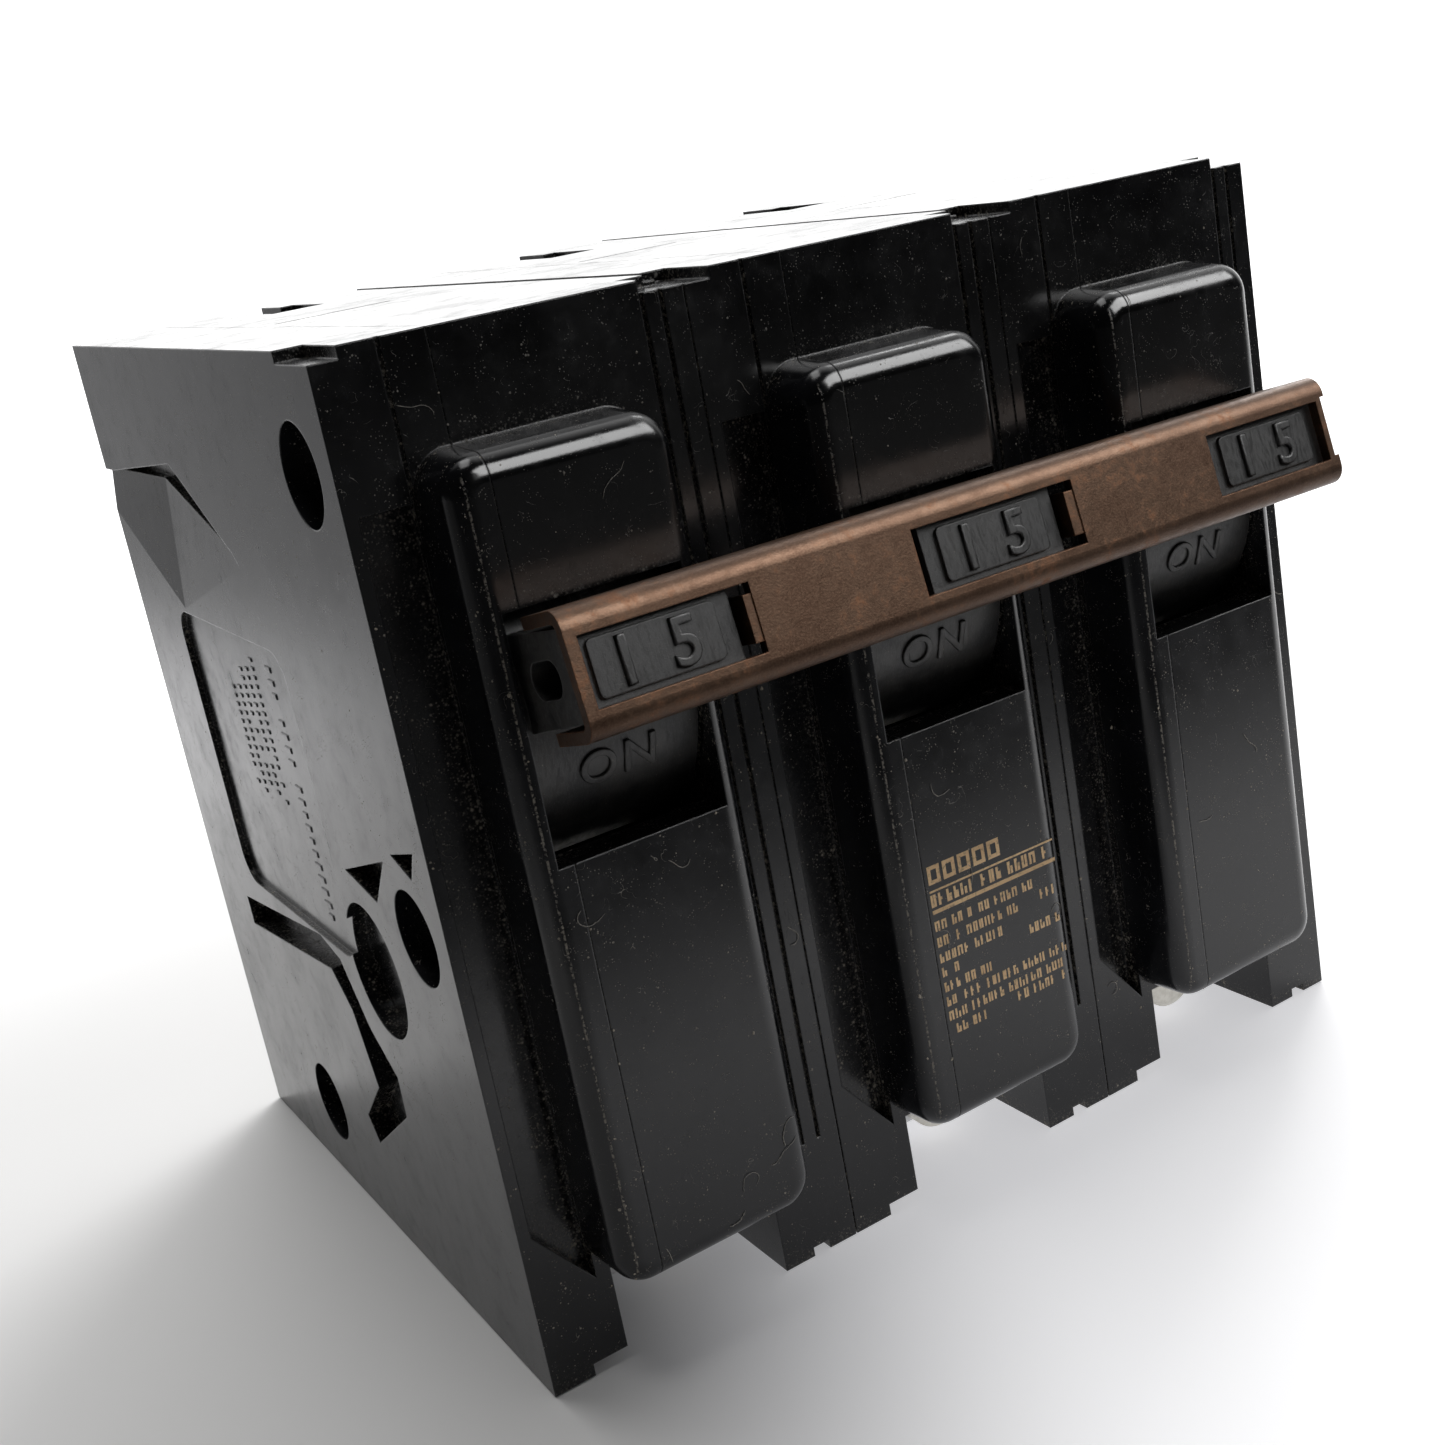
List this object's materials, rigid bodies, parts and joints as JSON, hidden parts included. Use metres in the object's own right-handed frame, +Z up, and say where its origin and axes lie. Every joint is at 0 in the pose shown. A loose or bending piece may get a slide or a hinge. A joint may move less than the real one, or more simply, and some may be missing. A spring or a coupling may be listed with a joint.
{
  "type": "three-pole plug-on circuit breaker",
  "caption": "Moulded-case plug-on circuit breaker: three poles side by side, raised bezels, handles joined by a steel tie, wire lugs below and plug-on jaws at the upper rear.",
  "frame": {"origin": "centre of the bounding box, on the plane of the feet", "axes": "+Z up along the handles from OFF to ON, -Y out of the front where the handles stand, +X across the poles to the right seen from the front"},
  "size_m": [0.076, 0.0738, 0.0716],
  "materials": {
    "case": "glossy black moulded phenolic, satin on the side faces",
    "handle": "matte black moulded handle",
    "tie_steel": "brown oxidised steel with rust at the edges",
    "copper": "bare copper",
    "silver": "silver alloy contact",
    "steel": "plated steel",
    "spring_steel": "spring wire and clips",
    "bimetal": "two-layer bimetal strip",
    "lug": "tin plated aluminium",
    "screw": "zinc plated steel",
    "brass": "brass",
    "trip_bar": "moulded insulating bar",
    "rivet": "dull steel rivets"
  },
  "bodies": {
    "case": {"case_cover_1": "case", "case_cover_2": "case", "case_cover_3": "case", "case_base_1": "case", "case_base_2": "case", "case_base_3": "case", "fixed_contact_1": "silver", "fixed_contact_2": "silver", "fixed_contact_3": "silver", "line_jaw_1": "copper", "line_jaw_2": "copper", "line_jaw_3": "copper", "arc_plates_1": "steel", "arc_plates_2": "steel", "arc_plates_3": "steel", "toggle_spring_1": "spring_steel", "toggle_spring_2": "spring_steel", "toggle_spring_3": "spring_steel", "bimetal_1": "bimetal", "bimetal_2": "bimetal", "bimetal_3": "bimetal", "magnet_yoke_1": "steel", "magnet_yoke_2": "steel", "magnet_yoke_3": "steel", "load_strap_1": "copper", "load_strap_2": "copper", "load_strap_3": "copper", "flexible_braid_1": "copper", "flexible_braid_2": "copper", "flexible_braid_3": "copper", "terminal_lug_1": "lug", "terminal_lug_2": "lug", "terminal_lug_3": "lug", "calibration_screws": "brass", "jaw_springs": "spring_steel", "pivot_pins": "steel", "long_rivets": "rivet"},
    "handles": {"handle_tie": "tie_steel", "handle_1": "handle", "handle_2": "handle", "handle_3": "handle"},
    "trip_bar_body": {"trip_bar": "trip_bar"},
    "arm_1": {"contact_arm_1": "copper", "moving_contact_1": "silver"},
    "cradle_1": {"cradle_1": "steel"},
    "armature_1": {"armature_1": "steel"},
    "screw_1": {"terminal_screw_1": "screw"},
    "pad_1": {"pressure_pad_1": "screw"},
    "arm_2": {"contact_arm_2": "copper", "moving_contact_2": "silver"},
    "cradle_2": {"cradle_2": "steel"},
    "armature_2": {"armature_2": "steel"},
    "screw_2": {"terminal_screw_2": "screw"},
    "pad_2": {"pressure_pad_2": "screw"},
    "arm_3": {"contact_arm_3": "copper", "moving_contact_3": "silver"},
    "cradle_3": {"cradle_3": "steel"},
    "armature_3": {"armature_3": "steel"},
    "screw_3": {"terminal_screw_3": "screw"},
    "pad_3": {"pressure_pad_3": "screw"}
  },
  "joints": [
    {"name": "handle_throw", "type": "hinge", "parent": "case", "child": "handles", "pos_m": [0, -0.0155, 0.047], "axis": [1, 0, 0], "range_deg": [0, 33]},
    {"name": "contact_arm_1_swing", "type": "hinge", "parent": "case", "child": "arm_1", "pos_m": [-0.0254, -0.0015, 0.033], "axis": [1, 0, 0], "range_deg": [0, 20], "deforming": ["toggle_spring_1", "flexible_braid_1"]},
    {"name": "cradle_1_trip", "type": "hinge", "parent": "case", "child": "cradle_1", "pos_m": [-0.0254, -0.0065, 0.0625], "axis": [1, 0, 0], "range_deg": [-13, 0], "deforming": ["toggle_spring_1"]},
    {"name": "armature_1_pull", "type": "hinge", "parent": "case", "child": "armature_1", "pos_m": [-0.0254, 0.0209, 0.043], "axis": [1, 0, 0], "range_deg": [0, 5]},
    {"name": "terminal_screw_1_turn", "type": "hinge", "parent": "case", "child": "screw_1", "pos_m": [-0.0254, -0.0185, 0.0041], "axis": [0, 1, 0], "range_deg": [0, 1080]},
    {"name": "pressure_pad_1_travel", "type": "slide", "parent": "case", "child": "pad_1", "axis": [0, 1, 0], "range_m": [0, 0.0024]},
    {"name": "contact_arm_2_swing", "type": "hinge", "parent": "case", "child": "arm_2", "pos_m": [0, -0.0015, 0.033], "axis": [1, 0, 0], "range_deg": [0, 20], "deforming": ["toggle_spring_2", "flexible_braid_2"]},
    {"name": "cradle_2_trip", "type": "hinge", "parent": "case", "child": "cradle_2", "pos_m": [0, -0.0065, 0.0625], "axis": [1, 0, 0], "range_deg": [-13, 0], "deforming": ["toggle_spring_2"]},
    {"name": "armature_2_pull", "type": "hinge", "parent": "case", "child": "armature_2", "pos_m": [0, 0.0209, 0.043], "axis": [1, 0, 0], "range_deg": [0, 5]},
    {"name": "terminal_screw_2_turn", "type": "hinge", "parent": "case", "child": "screw_2", "pos_m": [0, -0.0185, 0.0041], "axis": [0, 1, 0], "range_deg": [0, 1080]},
    {"name": "pressure_pad_2_travel", "type": "slide", "parent": "case", "child": "pad_2", "axis": [0, 1, 0], "range_m": [0, 0.0024]},
    {"name": "contact_arm_3_swing", "type": "hinge", "parent": "case", "child": "arm_3", "pos_m": [0.0254, -0.0015, 0.033], "axis": [1, 0, 0], "range_deg": [0, 20], "deforming": ["toggle_spring_3", "flexible_braid_3"]},
    {"name": "cradle_3_trip", "type": "hinge", "parent": "case", "child": "cradle_3", "pos_m": [0.0254, -0.0065, 0.0625], "axis": [1, 0, 0], "range_deg": [-13, 0], "deforming": ["toggle_spring_3"]},
    {"name": "armature_3_pull", "type": "hinge", "parent": "case", "child": "armature_3", "pos_m": [0.0254, 0.0209, 0.043], "axis": [1, 0, 0], "range_deg": [0, 5]},
    {"name": "terminal_screw_3_turn", "type": "hinge", "parent": "case", "child": "screw_3", "pos_m": [0.0254, -0.0185, 0.0041], "axis": [0, 1, 0], "range_deg": [0, 1080]},
    {"name": "pressure_pad_3_travel", "type": "slide", "parent": "case", "child": "pad_3", "axis": [0, 1, 0], "range_m": [0, 0.0024]},
    {"name": "trip_bar_turn", "type": "hinge", "parent": "case", "child": "trip_bar_body", "pos_m": [0, 0.0159, 0.0415], "axis": [1, 0, 0], "range_deg": [0, 4]}
  ],
  "couplings": [
    {"joint": "contact_arm_1_swing", "follows": "handle_throw", "ratio": 0.6},
    {"joint": "armature_1_pull", "follows": "cradle_1_trip", "ratio": -0.38},
    {"joint": "pressure_pad_1_travel", "follows": "terminal_screw_1_turn", "m_per_rad": 0.00012732},
    {"joint": "contact_arm_2_swing", "follows": "handle_throw", "ratio": 0.6},
    {"joint": "cradle_2_trip", "follows": "cradle_1_trip", "ratio": 1},
    {"joint": "armature_2_pull", "follows": "cradle_1_trip", "ratio": -0.38},
    {"joint": "pressure_pad_2_travel", "follows": "terminal_screw_2_turn", "m_per_rad": 0.00012732},
    {"joint": "contact_arm_3_swing", "follows": "handle_throw", "ratio": 0.6},
    {"joint": "cradle_3_trip", "follows": "cradle_1_trip", "ratio": 1},
    {"joint": "armature_3_pull", "follows": "cradle_1_trip", "ratio": -0.38},
    {"joint": "pressure_pad_3_travel", "follows": "terminal_screw_3_turn", "m_per_rad": 0.00012732},
    {"joint": "trip_bar_turn", "follows": "cradle_1_trip", "ratio": -0.3}
  ]
}
